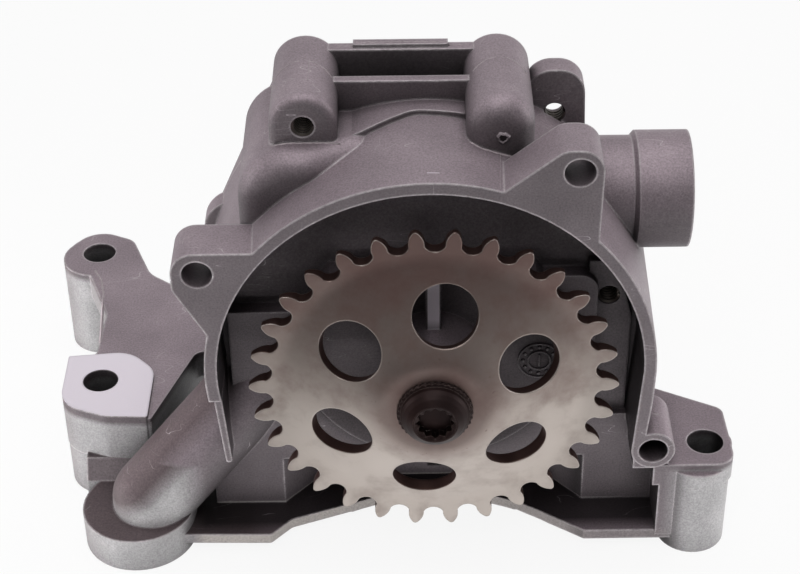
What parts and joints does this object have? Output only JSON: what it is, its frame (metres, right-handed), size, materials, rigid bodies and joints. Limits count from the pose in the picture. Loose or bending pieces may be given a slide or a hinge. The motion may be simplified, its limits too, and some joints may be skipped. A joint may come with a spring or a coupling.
{
  "type": "engine oil pump",
  "caption": "Chain-driven gear oil pump: cast housing with feet and chain guard, toothed chain wheel, meshed gears inside and a relief valve.",
  "frame": {"origin": "centre of the chain wheel, on the drive axis and in the middle of the chain line", "axes": "-Y along the drive axis towards the chain wheel's outside, +X along the longest side towards the intake stub, +Z away from the mounting feet"},
  "size_m": [0.1664, 0.1144, 0.1143],
  "materials": {
    "cast_housing": "blasted die-cast skin",
    "cast_cover": "blasted die-cast skin",
    "zinc_screw": "zinc plated",
    "ground_steel": "ground",
    "bronze_bush": "bored bronze",
    "sintered_gear": "sintered and sized",
    "pressed_sprocket": "hardened, satin",
    "oiled_bolt": "dark brown phosphate",
    "spring_steel": "drawn wire",
    "soft_washer": "soft sealing washer",
    "seal_rubber": "moulded rubber"
  },
  "bodies": {
    "housing": {"pump_housing": "cast_housing", "rear_cover": "cast_cover", "cover_screws": "zinc_screw", "cover_dowels": "ground_steel", "front_bush": "bronze_bush", "rear_bush": "bronze_bush", "idler_shaft": "ground_steel", "relief_spring": "spring_steel", "relief_plug": "zinc_screw", "relief_washer": "soft_washer", "outlet_o_ring": "seal_rubber", "intake_o_ring": "seal_rubber"},
    "drive": {"drive_shaft": "ground_steel", "drive_gear": "sintered_gear", "drive_gear_key": "ground_steel", "sprocket": "pressed_sprocket", "sprocket_pin": "ground_steel", "sprocket_bolt": "oiled_bolt"},
    "idler": {"idler_gear": "sintered_gear", "idler_bush": "bronze_bush"},
    "relief": {"relief_piston": "ground_steel"}
  },
  "joints": [
    {"name": "drive_spin", "type": "hinge", "parent": "housing", "child": "drive", "pos_m": [0, 0, 0], "axis": [0, 1, 0], "continuous": true},
    {"name": "idler_spin", "type": "hinge", "parent": "housing", "child": "idler", "pos_m": [-0.01944, 0.0335, 0.02317], "axis": [0, 1, 0], "continuous": true},
    {"name": "relief_slide", "type": "slide", "parent": "housing", "child": "relief", "axis": [0, 0, -1], "range_m": [0, 0.005], "stiffness_N_per_m": 500, "springref_m": -0.003, "deforming": ["relief_spring"]}
  ],
  "couplings": [
    {"joint": "idler_spin", "follows": "drive_spin", "ratio": -1}
  ]
}
